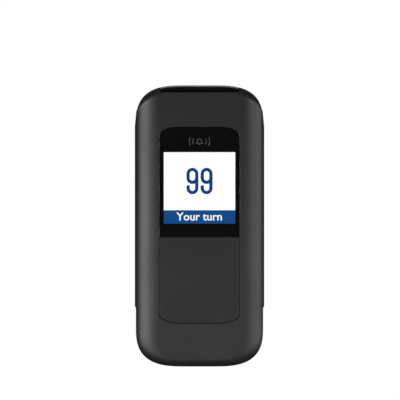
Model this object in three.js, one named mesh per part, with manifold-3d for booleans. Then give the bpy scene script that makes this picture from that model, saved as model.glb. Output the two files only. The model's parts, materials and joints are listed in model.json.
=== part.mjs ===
// A hand-held guest pager. Two black shells are screwed together round one circuit board. The
// front carries a flush glossy window over a square colour display and, below it, a large press
// key. A light bar crosses the top end, and charging contacts sit in the bottom end.
//
// Millimetres. +X is to the right as the display is read, the front face looks along -Y, and +Z
// is up. The origin is the middle of the bottom end, halfway through the depth.

import * as THREE from 'three';
import { mergeVertices } from 'three/addons/utils/BufferGeometryUtils.js';
import Module from 'manifold-3d';

const wasm = await Module();
wasm.setup();

// ---- driving dimensions ------------------------------------------------------------------

const HEIGHT = 108.6;
const HALF_WIDTH = 24.57; // of the moulded body, without the side rails
const FRONT = -10;
const BACK = 10;
const WALL = 1.8;
const FAR = 40; // past the body on every side, for cutting blocks

// Both ends of the outline are superellipses: |x/a|^SIDE_POWER + |v/b|^END_POWER = 1.
const END_HEIGHT = 13.94;
const SIDE_POWER = 4.3;
const END_POWER = 2.3;
const END_LAND = 5; // half width of the flat in the middle of each end
const END_STEPS = 8;
const EDGE_STEPS = 4;
const ROLL_STEPS = 6;

// Edges are elliptical: [inset or width, depth].
const OUTSIDE = {
  inset: 0,
  front: FRONT,
  back: BACK,
  frontEdge: [2.9, 7],
  backEdge: [3, 5],
  frontRoll: [9, 6.5],
  backRoll: [6, 5],
};
const INSIDE = {
  inset: WALL,
  front: FRONT + WALL,
  back: BACK - WALL,
  frontEdge: [2, 5.6],
  backEdge: [1.8, 3.4],
  frontRoll: [7.2, 4.7],
  backRoll: [4.2, 3.2],
};

// The parting line: front rim, silicone ring, back rim, and the back shell's tongue.
const FRONT_RIM = -1.25;
const BACK_RIM = -0.55;
const SEAL = { yFront: -1.1, yBack: -0.7, outer: 0.5, inner: 1.5 };
const TONGUE = { yFront: -2.5, yRoot: 1, root: 1.6, outer: 2, inner: 2.9 };

// Side rails on the back shell, which stop above the part that stands in a charger.
const RAIL = { half: 25, low: 22.3, lead: 1, high: 92.7, fade: 6.3, yBack: 6.2 };

// The flush insert in the front face: window above, press key below.
const INSERT = { half: 15.45, low: 16.8, split: 50.1, high: 92.3 };
const INSERT_CORNERS = [[7.7, 3.3], [7.7, 4.8]]; // below and above: [width, height]
const INSERT_GAP = 0.2;
const INSERT_FACE = FRONT + 0.1;
const INSERT_THICK = 1.2;
const WINDOW_FLOOR = -8.4;
const WINDOW_LEDGE_BACK = -7.6;
const KEY_FLOOR = -8.05;
const KEY_LEDGE_BACK = -7;
const LEDGE_RIM = 1.5; // of ledge outside the pocket

// The display and what carries it.
const DISPLAY_Z = 68.95;
const DISPLAY_OPENING = 14.6;
const BOARD = { yFront: -3.4, yBack: -2.4, inset: 3.8, high: 101 };
const SEAT = 0.1; // clearance between stacked pieces

// The press key, its snap hooks and the switch that it works.
const KEY_OPENING = { half: 14, low: 19, high: 47.6 };
const KEY_SKIRT = { half: 13.7, low: 19.3, high: 47.3, wall: 1.2, back: -6.9 };
const KEY_HOOK = { reach: 14.9, back: -6.1, low: 26, high: 41 };
const SWITCH = { z: 33.5, half: 3, front: -5, stemFront: -5.8, stemBack: -4.6, bore: 1.75, stem: 1.6 };

// The top end: trim strip and light bar.
const TOP_HALF = 15.1;
const TOP_GAP = 0.2;
const TRIM = { low: 105.75, yBack: -7.35 };
const BAR = { yFront: -7.05, yBack: 4.5, low: 105.6, inner: 2.4 };
const BAR_FLANGE = { reach: 1.2, outer: 2.05, inner: 2.8, yFront: -2.8, yBack: 4.4 };

// Screws.
const SCREW_X = 18.4;
const SCREW_Z = [13, 95.5];
const BOSS = { radius: 2.6, hole: 1.1, bottom: -6.6 };
const COLUMN = { radius: 3.3, hole: 1.25, counterbore: 2.3, seat: 7 };
const SCREW = { head: 1.9, headThick: 1.6, shank: 0.95, tip: -6, slot: 0.5, slotLong: 2.2, slotDeep: 0.8 };

// Back details.
const CONTACT = { x: 8, y: 3.4, radius: 1.8, flange: 2.2, recess: 0.35, shoulder: 2, top: 2.6 };
const GRILLE = { z: 77, hole: 0.8, pitch: 2.8 };
const LABEL = { half: 14, low: 22, high: 46, floor: 9.6, gap: 0.2, corner: [1.5, 1.5] };

// Vibration motor.
const MOTOR = { y: 2.6, z: 91.5, radius: 3.35, low: -4, high: 8, shaft: 0.5 };
const WEIGHT = { radius: 3, hub: 1.1, low: -8.6, high: -4.8 };

// ---- finishes ----------------------------------------------------------------------------

const FINISHES = {
  casing: { color: 0x323334, roughness: 0.55, metalness: 0 },
  key: { color: 0x303031, roughness: 0.5, metalness: 0 },
  gloss_black: { color: 0x0b0c0d, roughness: 0.08, metalness: 0 },
  diffuser: { color: 0xb9bdb8, roughness: 0.35, metalness: 0 },
  rubber: { color: 0x1c1c1d, roughness: 0.85, metalness: 0 },
  screw: { color: 0x4a4b4d, roughness: 0.35, metalness: 1 },
  contact: { color: 0xd2a84a, roughness: 0.3, metalness: 1 },
  spring: { color: 0xb9bcc0, roughness: 0.3, metalness: 1 },
  label: { color: 0xc9cbcd, roughness: 0.45, metalness: 0 },
  board: { color: 0x14532f, roughness: 0.5, metalness: 0 },
  glass: { color: 0xe9eef2, roughness: 0.05, metalness: 0 },
  white_plastic: { color: 0xe8e8e4, roughness: 0.5, metalness: 0 },
  foam: { color: 0x2a2a2c, roughness: 0.95, metalness: 0 },
  adhesive: { color: 0x161616, roughness: 0.8, metalness: 0 },
  flex: { color: 0x9a5a1c, roughness: 0.4, metalness: 0 },
  black_plastic: { color: 0x151516, roughness: 0.5, metalness: 0 },
  can: { color: 0xc4c7ca, roughness: 0.3, metalness: 1 },
  weight: { color: 0x6d6f72, roughness: 0.45, metalness: 1 },
  cell: { color: 0x3c6db0, roughness: 0.4, metalness: 0 },
  wire_red: { color: 0xa81e1e, roughness: 0.6, metalness: 0 },
  wire_black: { color: 0x121212, roughness: 0.6, metalness: 0 },
};

// ---- solids ------------------------------------------------------------------------------

function solid(geometry) {
  geometry.deleteAttribute('normal');
  geometry.deleteAttribute('uv');
  const merged = mergeVertices(geometry, 1e-4);
  return new wasm.Manifold(new wasm.Mesh({
    numProp: 3,
    vertProperties: new Float32Array(merged.attributes.position.array),
    triVerts: new Uint32Array(merged.index.array),
  }));
}

function geometryOf(form) {
  const mesh = form.getMesh();
  const geometry = new THREE.BufferGeometry();
  geometry.setAttribute('position', new THREE.BufferAttribute(new Float32Array(mesh.vertProperties), 3));
  geometry.setIndex(new THREE.BufferAttribute(new Uint32Array(mesh.triVerts), 1));
  geometry.computeVertexNormals();
  return geometry;
}

function box(x0, x1, y0, y1, z0, z1) {
  const geometry = new THREE.BoxGeometry(x1 - x0, y1 - y0, z1 - z0);
  geometry.translate((x0 + x1) / 2, (y0 + y1) / 2, (z0 + z1) / 2);
  return solid(geometry);
}

function rodX(radius, x0, x1, y, z, sides) {
  const geometry = new THREE.CylinderGeometry(radius, radius, x1 - x0, sides);
  geometry.rotateZ(Math.PI / 2);
  geometry.translate((x0 + x1) / 2, y, z);
  return solid(geometry);
}

function rodY(radius, x, y0, y1, z, sides) {
  const geometry = new THREE.CylinderGeometry(radius, radius, y1 - y0, sides);
  geometry.translate(x, (y0 + y1) / 2, z);
  return solid(geometry);
}

function rodZ(radius, x, y, z0, z1, sides) {
  const geometry = new THREE.CylinderGeometry(radius, radius, z1 - z0, sides);
  geometry.rotateX(Math.PI / 2);
  geometry.translate(x, y, (z0 + z1) / 2);
  return solid(geometry);
}

// An outline in X and Z, drawn out from yFront to yBack, with elliptical edges if asked for.
function plate(shape, yFront, yBack, edge = [0, 0]) {
  const [edgeInset, edgeDepth] = edge;
  const geometry = new THREE.ExtrudeGeometry(shape, {
    depth: yBack - yFront - 2 * edgeDepth,
    bevelEnabled: edgeDepth > 0,
    bevelThickness: edgeDepth,
    bevelSize: edgeInset,
    bevelOffset: -edgeInset,
    bevelSegments: EDGE_STEPS,
  });
  geometry.rotateX(Math.PI / 2);
  geometry.translate(0, yBack - edgeDepth, 0);
  return solid(geometry);
}

// A shape in X and Y, drawn up from z0 to z1.
function prismZ(shape, z0, z1) {
  const geometry = new THREE.ExtrudeGeometry(shape, { depth: z1 - z0, bevelEnabled: false });
  geometry.translate(0, 0, z0);
  return solid(geometry);
}

// A closed list of [y, z] corners, drawn out from x0 to x1.
function prismX(corners, x0, x1) {
  const shape = new THREE.Shape(corners.map(([y, z]) => new THREE.Vector2(y, z)));
  const geometry = new THREE.ExtrudeGeometry(shape, { depth: x1 - x0, bevelEnabled: false });
  geometry.applyMatrix4(new THREE.Matrix4().set(0, 0, 1, x0, 1, 0, 0, 0, 0, 1, 0, 0, 0, 0, 0, 1));
  return solid(geometry);
}

// ---- outlines ----------------------------------------------------------------------------

function arc(cx, cy, rx, ry, fromTurn, steps) {
  const points = [];
  for (let i = 0; i <= steps; i += 1) {
    const angle = 2 * Math.PI * (fromTurn + (0.25 * i) / steps);
    points.push(new THREE.Vector2(cx + rx * Math.cos(angle), cy + ry * Math.sin(angle)));
  }
  return points;
}

// The pager's outline, moved inwards by inset.
function outline(inset) {
  const a = HALF_WIDTH - inset;
  const b = END_HEIGHT - inset;
  const corner = [[END_LAND, b]];
  for (let i = 1; i <= END_STEPS; i += 1) {
    const angle = (i / END_STEPS) * (Math.PI / 2);
    const across = a * Math.sin(angle) ** (2 / SIDE_POWER);
    const along = b * Math.max(Math.cos(angle), 0) ** (2 / END_POWER);
    corner.push([across, along]);
  }
  const low = corner.map(([x, v]) => new THREE.Vector2(x, END_HEIGHT - v));
  const high = corner.map(([x, v]) => new THREE.Vector2(x, HEIGHT - END_HEIGHT + v)).reverse();
  const right = [...low, ...high];
  const left = right.map((point) => new THREE.Vector2(-point.x, point.y)).reverse();
  return new THREE.Shape([...right, ...left]);
}

// A rectangle with elliptical corners, each [width, height], of one size below and another above.
function roundedRectangle(half, low, high, lowCorner, highCorner, steps) {
  const [lowWide, lowTall] = lowCorner;
  const [highWide, highTall] = highCorner;
  return new THREE.Shape([
    ...arc(half - lowWide, low + lowTall, lowWide, lowTall, 0.75, steps),
    ...arc(half - highWide, high - highTall, highWide, highTall, 0, steps),
    ...arc(highWide - half, high - highTall, highWide, highTall, 0.25, steps),
    ...arc(lowWide - half, low + lowTall, lowWide, lowTall, 0.5, steps),
  ]);
}

// The cross-section of the body, the same all the way up: flat front and back, rolled sides.
function section(body) {
  const half = HALF_WIDTH - body.inset;
  const [frontWide, frontDeep] = body.frontRoll;
  const [backWide, backDeep] = body.backRoll;
  return new THREE.Shape([
    ...arc(half - frontWide, body.front + frontDeep, frontWide, frontDeep, 0.75, ROLL_STEPS),
    ...arc(half - backWide, body.back - backDeep, backWide, backDeep, 0, ROLL_STEPS),
    ...arc(backWide - half, body.back - backDeep, backWide, backDeep, 0.25, ROLL_STEPS),
    ...arc(frontWide - half, body.front + frontDeep, frontWide, frontDeep, 0.5, ROLL_STEPS),
  ]);
}

function envelope(body) {
  const shape = outline(body.inset);
  const softFront = plate(shape, body.front, FAR, body.frontEdge);
  const softBack = plate(shape, -FAR, body.back, body.backEdge);
  const rolled = prismZ(section(body), -1, HEIGHT + 1);
  return softFront.intersect(softBack).intersect(rolled);
}

function ring(outer, inner, yFront, yBack) {
  return plate(outline(outer), yFront, yBack).subtract(plate(outline(inner), yFront - 1, yBack + 1));
}

const outsideBody = envelope(OUTSIDE);
const insideBody = envelope(INSIDE);
const topOpening = box(
  -TOP_HALF - TOP_GAP, TOP_HALF + TOP_GAP, FRONT - 1, BAR.yBack + 0.3, TRIM.low - 0.25, HEIGHT + 1,
);
const flangeClearance = box(
  -TOP_HALF - BAR_FLANGE.reach - 0.5, TOP_HALF + BAR_FLANGE.reach + 0.5,
  TONGUE.yFront - 1, BAR.yBack, 100, HEIGHT + 1,
);

function screwPlaces() {
  return SCREW_Z.flatMap((z) => [[-SCREW_X, z], [SCREW_X, z]]);
}

// ---- casing ------------------------------------------------------------------------------

function pocket(low, high, floor) {
  const whole = roundedRectangle(
    INSERT.half + INSERT_GAP, INSERT.low - INSERT_GAP, INSERT.high + INSERT_GAP,
    ...INSERT_CORNERS, 6,
  );
  return plate(whole, FRONT - 1, floor).intersect(box(-FAR, FAR, FRONT - 1, floor, low, high));
}

function frontCasing() {
  const padHalf = INSERT.half + LEDGE_RIM;
  const keyPad = box(-padHalf, padHalf, FRONT, KEY_LEDGE_BACK, INSERT.low - LEDGE_RIM, INSERT.split);
  const windowPad = box(
    -padHalf, padHalf, FRONT, WINDOW_LEDGE_BACK, INSERT.split - 1, INSERT.high + LEDGE_RIM,
  );
  let hollow = insideBody.subtract(keyPad).subtract(windowPad);
  for (const [x, z] of screwPlaces()) {
    hollow = hollow.subtract(rodY(BOSS.radius, x, FRONT, FRONT_RIM, z, 16));
  }
  for (const x of [-SCREW_X, SCREW_X]) {
    hollow = hollow.subtract(rodY(2, x, FRONT, BOARD.yFront - SEAT, INSERT.split, 12));
  }
  const half = box(-FAR, FAR, FRONT - 1, FRONT_RIM, -1, HEIGHT + 1);
  let shell = outsideBody.intersect(half).subtract(hollow);
  shell = shell.subtract(pocket(INSERT.split, HEIGHT, WINDOW_FLOOR));
  shell = shell.subtract(pocket(0, INSERT.split, KEY_FLOOR));
  const view = DISPLAY_OPENING;
  shell = shell.subtract(box(-view, view, FRONT, 0, DISPLAY_Z - view, DISPLAY_Z + view));
  const key = KEY_OPENING;
  shell = shell.subtract(box(-key.half, key.half, FRONT, 0, key.low, key.high));
  for (const [x, z] of screwPlaces()) {
    shell = shell.subtract(rodY(BOSS.hole, x, BOSS.bottom, 0, z, 12));
  }
  return shell.subtract(topOpening);
}

// Rails stand out from the sides and fade into the rounded top corners.
function rails() {
  const root = HALF_WIDTH - 1;
  const edge = HALF_WIDTH - 0.17;
  const profile = [
    [root, RAIL.low],
    [edge, RAIL.low],
    [RAIL.half, RAIL.low + RAIL.lead],
    [RAIL.half, RAIL.high],
    [edge, RAIL.high + RAIL.fade],
    [root, RAIL.high + RAIL.fade],
  ];
  const right = new THREE.Shape(profile.map(([x, z]) => new THREE.Vector2(x, z)));
  const left = new THREE.Shape(profile.map(([x, z]) => new THREE.Vector2(-x, z)));
  return plate(right, BACK_RIM, RAIL.yBack).add(plate(left, BACK_RIM, RAIL.yBack));
}

function grilleHoles() {
  const places = [[0, GRILLE.z]];
  for (let i = 0; i < 6; i += 1) {
    const angle = (i * Math.PI) / 3;
    places.push([GRILLE.pitch * Math.cos(angle), GRILLE.z + GRILLE.pitch * Math.sin(angle)]);
  }
  return places.map(([x, z]) => rodY(GRILLE.hole, x, BACK - WALL - 1, BACK + 1, z, 10));
}

function rearCasing() {
  let hollow = insideBody;
  for (const [x, z] of screwPlaces()) {
    hollow = hollow.subtract(rodY(COLUMN.radius, x, BACK_RIM, BACK, z, 18));
  }
  const half = box(-FAR, FAR, BACK_RIM, BACK + 1, -1, HEIGHT + 1);
  let shell = outsideBody.intersect(half).add(rails()).subtract(hollow);
  const tongue = ring(TONGUE.root, TONGUE.inner, BACK_RIM, TONGUE.yRoot)
    .add(ring(TONGUE.outer, TONGUE.inner, TONGUE.yFront, TONGUE.yRoot));
  shell = shell.add(tongue.subtract(flangeClearance));
  for (const x of [-19.3, 19.3]) {
    shell = shell.add(rodY(1.2, x, BOARD.yBack + SEAT, BACK - 1.4, 58, 12));
  }
  for (const [x, z] of screwPlaces()) {
    shell = shell.subtract(rodY(COLUMN.hole, x, -1, BACK + 1, z, 12));
    shell = shell.subtract(rodY(COLUMN.counterbore, x, COLUMN.seat, BACK + 1, z, 20));
  }
  for (const x of [-CONTACT.x, CONTACT.x]) {
    shell = shell.subtract(rodZ(CONTACT.radius + 0.15, x, CONTACT.y, -1, WALL + 1, 20));
  }
  for (const hole of grilleHoles()) {
    shell = shell.subtract(hole);
  }
  const { half: labelHalf, low, high, gap, corner } = LABEL;
  const recess = roundedRectangle(labelHalf + gap, low - gap, high + gap, corner, corner, 3);
  return shell.subtract(plate(recess, LABEL.floor, BACK + 1)).subtract(topOpening);
}

function caseSeal() {
  const gap = TOP_HALF + 0.6;
  return ring(SEAL.outer, SEAL.inner, SEAL.yFront, SEAL.yBack)
    .subtract(box(-gap, gap, SEAL.yFront - 1, SEAL.yBack + 1, 100, HEIGHT + 1));
}

// ---- front insert ------------------------------------------------------------------------

function insertPlate(low, high, yFront, yBack) {
  const whole = roundedRectangle(INSERT.half, INSERT.low, INSERT.high, ...INSERT_CORNERS, 6);
  return plate(whole, yFront, yBack).intersect(box(-FAR, FAR, yFront, yBack, low, high));
}

function displayWindow() {
  return insertPlate(INSERT.split + SEAT, HEIGHT, INSERT_FACE, INSERT_FACE + INSERT_THICK);
}

function windowAdhesive() {
  const back = INSERT_FACE + INSERT_THICK;
  const edge = 0.25;
  const [wide, tall] = INSERT_CORNERS[1];
  const band = roundedRectangle(
    INSERT.half - edge, INSERT.split + SEAT + edge, INSERT.high - edge,
    [0.5, 0.5], [wide - edge, tall - edge], 4,
  );
  const view = DISPLAY_OPENING;
  return plate(band, back + 0.02, WINDOW_FLOOR - 0.02)
    .subtract(box(-view, view, FRONT, 0, DISPLAY_Z - view, DISPLAY_Z + view));
}

// The cap fills the lower part of the pocket. A skirt under it runs in the key opening, two
// hooks hold it under the ledge, and a post in the middle works the switch.
function pressKey() {
  const skirt = KEY_SKIRT;
  const capBack = INSERT_FACE + INSERT_THICK;
  const cap = insertPlate(0, INSERT.split - SEAT, INSERT_FACE, capBack);
  const outer = box(-skirt.half, skirt.half, capBack - 0.1, skirt.back, skirt.low, skirt.high);
  const inner = box(
    skirt.wall - skirt.half, skirt.half - skirt.wall, capBack, skirt.back + 1,
    skirt.low + skirt.wall, skirt.high - skirt.wall,
  );
  const post = rodY(2, 0, capBack - 0.1, SWITCH.stemFront - SEAT, SWITCH.z, 12);
  const hooks = [-1, 1].map((side) => {
    const near = side * (skirt.half - skirt.wall);
    const far = side * KEY_HOOK.reach;
    const stem = box(
      Math.min(near, side * skirt.half), Math.max(near, side * skirt.half),
      capBack, KEY_HOOK.back, KEY_HOOK.low, KEY_HOOK.high,
    );
    const nose = box(
      Math.min(near, far), Math.max(near, far), skirt.back, KEY_HOOK.back, KEY_HOOK.low, KEY_HOOK.high,
    );
    return stem.add(nose);
  });
  return cap.add(outer.subtract(inner)).add(post).add(hooks[0]).add(hooks[1]);
}

function switchBase() {
  const { half, front, z, bore } = SWITCH;
  return box(-half, half, front, BOARD.yFront - SEAT, z - half, z + half)
    .subtract(rodY(bore, 0, front - 1, SWITCH.stemBack + 0.7, z, 16));
}

function switchStem() {
  return rodY(SWITCH.stem, 0, SWITCH.stemFront, SWITCH.stemBack, SWITCH.z, 16);
}

// ---- top end -----------------------------------------------------------------------------

function topTrim() {
  return outsideBody.intersect(box(-TOP_HALF, TOP_HALF, FRONT - 1, TRIM.yBack, TRIM.low, HEIGHT + 1));
}

function lightBar() {
  const window = box(-TOP_HALF, TOP_HALF, BAR.yFront, BAR.yBack, BAR.low, HEIGHT + 1);
  const core = plate(outline(BAR.inner), FRONT, BACK);
  const flangeHalf = TOP_HALF + BAR_FLANGE.reach;
  const { outer, inner, yFront, yBack } = BAR_FLANGE;
  const flange = ring(outer, inner, yFront, yBack)
    .intersect(box(-flangeHalf, flangeHalf, FRONT, BACK, 100, HEIGHT + 1));
  return outsideBody.intersect(window).subtract(core).add(flange);
}

// ---- fasteners and contacts --------------------------------------------------------------

// A cross-head screw with its axis along Y, head towards +Y, the head's underside at y = 0.
function caseScrew() {
  const seat = COLUMN.seat + SEAT;
  const head = rodY(SCREW.head, 0, 0, SCREW.headThick, 0, 16);
  const shank = rodY(SCREW.shank, 0, SCREW.tip - seat, 0.1, 0, 12);
  const deep = SCREW.headThick - SCREW.slotDeep;
  const slotLong = SCREW.slotLong / 2;
  const slotWide = SCREW.slot / 2;
  return head.add(shank)
    .subtract(box(-slotLong, slotLong, deep, 3, -slotWide, slotWide))
    .subtract(box(-slotWide, slotWide, deep, 3, -slotLong, slotLong));
}

// A charging contact with its axis along Z: a pad below, a shoulder that stops inside the wall.
function chargeContact() {
  return rodZ(CONTACT.radius, 0, 0, CONTACT.recess, CONTACT.shoulder + 0.1, 20)
    .add(rodZ(CONTACT.flange, 0, 0, CONTACT.shoulder, CONTACT.top, 20));
}

// A bent strip from the back of the board down to the contact.
function contactSpring() {
  const foot = BOARD.yBack + SEAT;
  const tip = CONTACT.top + 0.15;
  const thick = 0.3;
  return prismX([
    [foot, 8.5],
    [foot, 5],
    [2.4, tip],
    [4.4, tip],
    [4.4, tip + thick],
    [2.5, tip + thick],
    [foot + thick, 5.2],
    [foot + thick, 8.5],
  ], -1.2, 1.2);
}

function labelPlate() {
  const { half, low, high, floor, corner } = LABEL;
  return plate(roundedRectangle(half, low, high, corner, corner, 3), floor + 0.05, BACK - 0.1);
}

// ---- display stack -----------------------------------------------------------------------

function lcdGasket() {
  return box(-15.5, 15.5, -7.55, -7.35, DISPLAY_Z - 15.5, DISPLAY_Z + 15.5)
    .subtract(box(-14.2, 14.2, -8, -7, DISPLAY_Z - 14.2, DISPLAY_Z + 14.2));
}

function displayFlex() {
  return prismX([
    [-5.8, 52], [-5.8, 51.55], [-5.55, 51.3], [-4.5, 51.3], [-4.35, 51.15], [-4.35, 51.05],
    [-4.15, 51.05], [-4.15, 51.25], [-4.4, 51.5], [-5.45, 51.5], [-5.6, 51.65], [-5.6, 52],
  ], -7, 7);
}

// ---- circuit board and what is on it -----------------------------------------------------

function mainBoard() {
  let board = plate(outline(BOARD.inset), BOARD.yFront, BOARD.yBack)
    .intersect(box(-FAR, FAR, BOARD.yFront, BOARD.yBack, 0, BOARD.high));
  for (const [x, z] of screwPlaces()) {
    board = board.subtract(rodY(BOSS.radius + 0.3, x, -5, 0, z, 16));
  }
  return board;
}

function radioShield() {
  return box(8, 18, BOARD.yBack + SEAT, -0.6, 70, 84)
    .subtract(box(8.3, 17.7, BOARD.yBack, -0.9, 70.3, 83.7));
}

// A helix of bare wire along X, standing clear of the front of the board.
function antennaCoil() {
  const turns = 6;
  const steps = 60;
  const radius = 1.4;
  const points = [];
  for (let i = 0; i <= steps; i += 1) {
    const angle = (2 * Math.PI * turns * i) / steps;
    const x = -13 + (10 * i) / steps;
    points.push(new THREE.Vector3(x, -5.4 + radius * Math.sin(angle), 97.5 + radius * Math.cos(angle)));
  }
  return tube(points, 0.25, steps * 2, 5);
}

function tube(points, radius, steps, sides) {
  const profile = [];
  for (let i = 0; i < sides; i += 1) {
    const angle = (2 * Math.PI * i) / sides;
    profile.push(new THREE.Vector2(radius * Math.cos(angle), radius * Math.sin(angle)));
  }
  const path = new THREE.CatmullRomCurve3(points);
  return solid(new THREE.ExtrudeGeometry(new THREE.Shape(profile), { steps, extrudePath: path }));
}

// A buzzer in a round can that faces the grille in the back.
function sounder() {
  return rodY(6, 0, BOARD.yBack + SEAT, 7, GRILLE.z, 24)
    .subtract(rodY(1.1, 0, 6, 8, GRILLE.z, 12));
}

// ---- vibration motor ---------------------------------------------------------------------

function motorCan() {
  return rodX(MOTOR.radius, MOTOR.low, MOTOR.high, MOTOR.y, MOTOR.z, 20)
    .subtract(rodX(MOTOR.shaft + 0.15, MOTOR.low - 1, MOTOR.low + 1.4, MOTOR.y, MOTOR.z, 12));
}

function motorBoot() {
  return box(-2.5, 6.5, -2.2, 7.4, 87, 96)
    .subtract(rodX(MOTOR.radius + 0.15, -4, 8, MOTOR.y, MOTOR.z, 20));
}

function motorShaft() {
  return rodX(MOTOR.shaft, WEIGHT.low - 0.4, MOTOR.low + 1.1, MOTOR.y, MOTOR.z, 12);
}

// Half a disc, so that its weight is all on one side of the shaft.
function motorWeight() {
  const { radius, hub, low, high } = WEIGHT;
  const { y, z } = MOTOR;
  return rodX(radius, low, high, y, z, 20)
    .subtract(box(low - 1, high + 1, y - radius - 1, y + radius + 1, z, z + radius + 1))
    .add(rodX(hub, low, high, y, z, 12))
    .subtract(rodX(MOTOR.shaft + 0.1, low - 1, high + 1, y, z, 12));
}

// ---- battery -----------------------------------------------------------------------------

function batteryCell() {
  const corner = 2.4;
  const half = 17;
  const front = 1.7;
  const back = 7.7;
  return prismZ(new THREE.Shape([
    ...arc(half - corner, front + corner, corner, corner, 0.75, 3),
    ...arc(half - corner, back - corner, corner, corner, 0, 3),
    ...arc(corner - half, back - corner, corner, corner, 0.25, 3),
    ...arc(corner - half, front + corner, corner, corner, 0.5, 3),
  ]), 17, 66);
}

function batterySocket() {
  return box(-16, -10, BOARD.yBack + SEAT, 1.7, 69, 73.5)
    .subtract(box(-15.3, -10.7, -1.2, 2, 69.7, 72.8));
}

function batteryPlug() {
  return box(-15.1, -10.9, -0.9, 3.2, 69.9, 72.6);
}

// One lead, from the top of the cell up and over into the plug.
function batteryLead(x) {
  const points = [[4.7, 66.2], [6.1, 68], [5.6, 70.4], [3.4, 71.25]];
  return tube(points.map(([y, z]) => new THREE.Vector3(x, y, z)), 0.55, 8, 8);
}

// ---- assembly ----------------------------------------------------------------------------

const pager = new THREE.Group();

function piece(name, form, finish, x = 0, y = 0, z = 0) {
  const mesh = new THREE.Mesh(geometryOf(form), new THREE.MeshStandardMaterial(FINISHES[finish]));
  mesh.name = name;
  mesh.position.set(x, y, z);
  pager.add(mesh);
}

piece('front_casing', frontCasing(), 'casing');
piece('rear_casing', rearCasing(), 'casing');
piece('case_seal', caseSeal(), 'rubber');
piece('display_window', displayWindow(), 'gloss_black');
piece('window_adhesive', windowAdhesive(), 'adhesive');
piece('press_key', pressKey(), 'key');
piece('switch_base', switchBase(), 'black_plastic');
piece('switch_stem', switchStem(), 'white_plastic');
piece('top_trim', topTrim(), 'gloss_black');
piece('light_bar', lightBar(), 'diffuser');
screwPlaces().forEach(([x, z], index) => {
  piece(`case_screw_${index + 1}`, caseScrew(), 'screw', x, COLUMN.seat + SEAT, z);
});
for (const [side, x] of [['left', -CONTACT.x], ['right', CONTACT.x]]) {
  piece(`charge_contact_${side}`, chargeContact(), 'contact', x, CONTACT.y);
  piece(`contact_spring_${side}`, contactSpring(), 'spring', x);
}
piece('label_plate', labelPlate(), 'label');

piece('lcd_gasket', lcdGasket(), 'foam');
piece('lcd_panel', box(-15.25, 15.25, -7.25, -6.2, 53.2, 84.9), 'glass');
piece('lcd_backlight', box(-15.75, 15.75, -6.1, -5.3, 52.1, 85.8), 'white_plastic');
piece('display_foam', box(-12, 12, -5.2, BOARD.yFront - SEAT, 56, 82), 'foam');
piece('display_flex', displayFlex(), 'flex');
piece('flex_connector', box(-8, 8, -4.9, BOARD.yFront - SEAT, 48.4, 50.9), 'white_plastic');

piece('main_board', mainBoard(), 'board');
piece('processor_chip', box(-12, -5, BOARD.yBack + SEAT, -1.3, 54, 61), 'black_plastic');
piece('radio_shield', radioShield(), 'can');
piece('radio_chip', box(11, 15, BOARD.yBack + SEAT, -1.4, 75, 79), 'black_plastic');
piece('antenna_coil', antennaCoil(), 'contact');
[-10.5, -3.5, 3.5, 10.5].forEach((x, index) => {
  const form = box(-1.6, 1.6, BOARD.yBack + SEAT, -1.1, 99.2, 100.8);
  piece(`alert_led_${index + 1}`, form, 'white_plastic', x);
});
piece('sounder', sounder(), 'black_plastic');
piece('sounder_mesh', rodY(6.4, 0, 7.5, 8, GRILLE.z, 20), 'foam');

piece('motor_can', motorCan(), 'can');
piece('motor_boot', motorBoot(), 'rubber');
piece('motor_shaft', motorShaft(), 'spring');
piece('motor_weight', motorWeight(), 'weight');

piece('battery_cell', batteryCell(), 'cell');
piece('battery_tape', box(-13, 13, 7.8, 8.1, 20, 62), 'adhesive');
piece('battery_socket', batterySocket(), 'white_plastic');
piece('battery_plug', batteryPlug(), 'white_plastic');
piece('battery_lead_red', batteryLead(-14), 'wire_red');
piece('battery_lead_black', batteryLead(-12), 'wire_black');

export default pager;
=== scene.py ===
# The looks of a hand-held guest pager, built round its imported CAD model: two black shells, a glossy
# window over a colour display, a press key under it, and a light bar across the top end.
#
# Metres. +X is to the right as the display is read, the front looks along -Y, and +Z is up.

import json
import math

import bmesh
import bpy
from mathutils import Matrix, Vector


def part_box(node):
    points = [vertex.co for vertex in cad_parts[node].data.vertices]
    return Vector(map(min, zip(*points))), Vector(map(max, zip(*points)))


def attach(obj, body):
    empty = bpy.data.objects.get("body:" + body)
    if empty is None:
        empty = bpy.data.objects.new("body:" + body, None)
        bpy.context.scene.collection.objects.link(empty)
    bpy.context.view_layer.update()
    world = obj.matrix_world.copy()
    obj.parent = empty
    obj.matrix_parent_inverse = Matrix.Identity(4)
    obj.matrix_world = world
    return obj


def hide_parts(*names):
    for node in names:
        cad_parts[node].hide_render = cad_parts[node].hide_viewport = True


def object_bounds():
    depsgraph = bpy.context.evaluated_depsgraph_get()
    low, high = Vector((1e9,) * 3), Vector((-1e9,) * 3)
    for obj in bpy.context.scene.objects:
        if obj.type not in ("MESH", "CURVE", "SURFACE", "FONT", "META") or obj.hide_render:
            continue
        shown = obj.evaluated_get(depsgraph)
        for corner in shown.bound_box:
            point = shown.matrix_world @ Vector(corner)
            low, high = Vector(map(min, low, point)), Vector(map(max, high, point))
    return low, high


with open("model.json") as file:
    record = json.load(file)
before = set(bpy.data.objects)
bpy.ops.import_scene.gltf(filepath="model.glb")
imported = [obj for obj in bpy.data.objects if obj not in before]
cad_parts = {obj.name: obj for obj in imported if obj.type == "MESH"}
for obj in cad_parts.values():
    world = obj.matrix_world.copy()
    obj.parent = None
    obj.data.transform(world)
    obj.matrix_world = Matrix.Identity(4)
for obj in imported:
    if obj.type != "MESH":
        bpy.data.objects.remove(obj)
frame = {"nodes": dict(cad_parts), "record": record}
cad_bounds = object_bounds()

# ---- sizes, from the frame where a node gives them ---------------------------------------------

MM = 0.001
X, Y, Z = 0, 1, 2

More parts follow.
